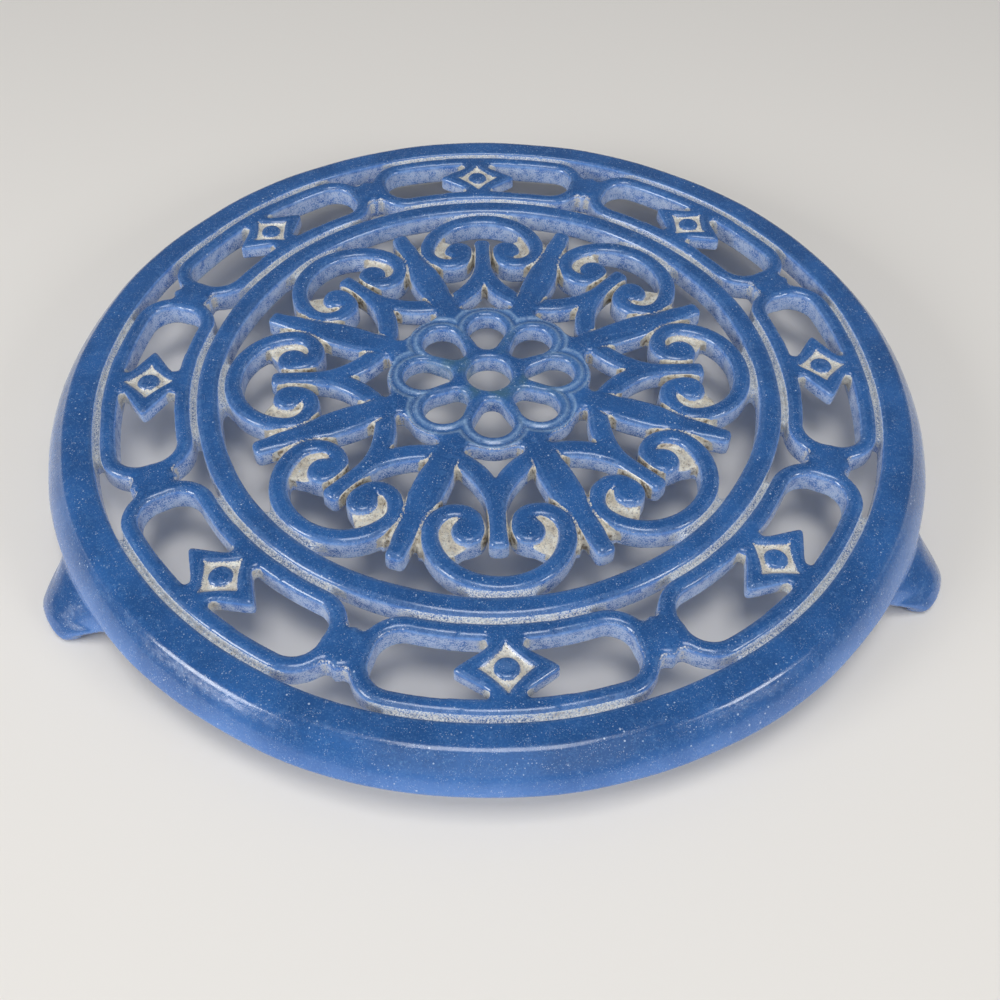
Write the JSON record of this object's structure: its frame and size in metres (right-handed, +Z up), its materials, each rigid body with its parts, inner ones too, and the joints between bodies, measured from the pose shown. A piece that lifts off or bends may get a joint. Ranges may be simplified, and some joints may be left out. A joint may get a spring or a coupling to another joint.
{
  "type": "trivet",
  "caption": "Round openwork cast trivet with a frieze of links, scrolls and a rosette star, standing on flared feet, for resting a hot pot.",
  "frame": {"origin": "centre of the flat top on which the pot stands, on the pattern's axis", "axes": "+Z up, -Y towards the front of the picture, +Y over the hidden rear foot"},
  "size_m": [0.2306, 0.24, 0.02],
  "materials": {
    "enamel_blue": "gloss"
  },
  "bodies": {
    "root": {"outer_rim": "enamel_blue", "inner_ring": "enamel_blue", "frieze_link_1": "enamel_blue", "frieze_link_2": "enamel_blue", "frieze_link_3": "enamel_blue", "frieze_link_4": "enamel_blue", "frieze_link_5": "enamel_blue", "frieze_link_6": "enamel_blue", "frieze_link_7": "enamel_blue", "frieze_link_8": "enamel_blue", "link_web_1": "enamel_blue", "link_web_2": "enamel_blue", "link_web_3": "enamel_blue", "link_web_4": "enamel_blue", "link_web_5": "enamel_blue", "link_web_6": "enamel_blue", "link_web_7": "enamel_blue", "link_web_8": "enamel_blue", "lozenge_boss_1": "enamel_blue", "lozenge_boss_2": "enamel_blue", "lozenge_boss_3": "enamel_blue", "lozenge_boss_4": "enamel_blue", "lozenge_boss_5": "enamel_blue", "lozenge_boss_6": "enamel_blue", "lozenge_boss_7": "enamel_blue", "lozenge_boss_8": "enamel_blue", "scroll_1": "enamel_blue", "scroll_2": "enamel_blue", "scroll_3": "enamel_blue", "scroll_4": "enamel_blue", "scroll_5": "enamel_blue", "scroll_6": "enamel_blue", "scroll_7": "enamel_blue", "scroll_8": "enamel_blue", "star": "enamel_blue", "rosette": "enamel_blue", "foot_1": "enamel_blue", "foot_2": "enamel_blue", "foot_3": "enamel_blue"}
  },
  "joints": []
}
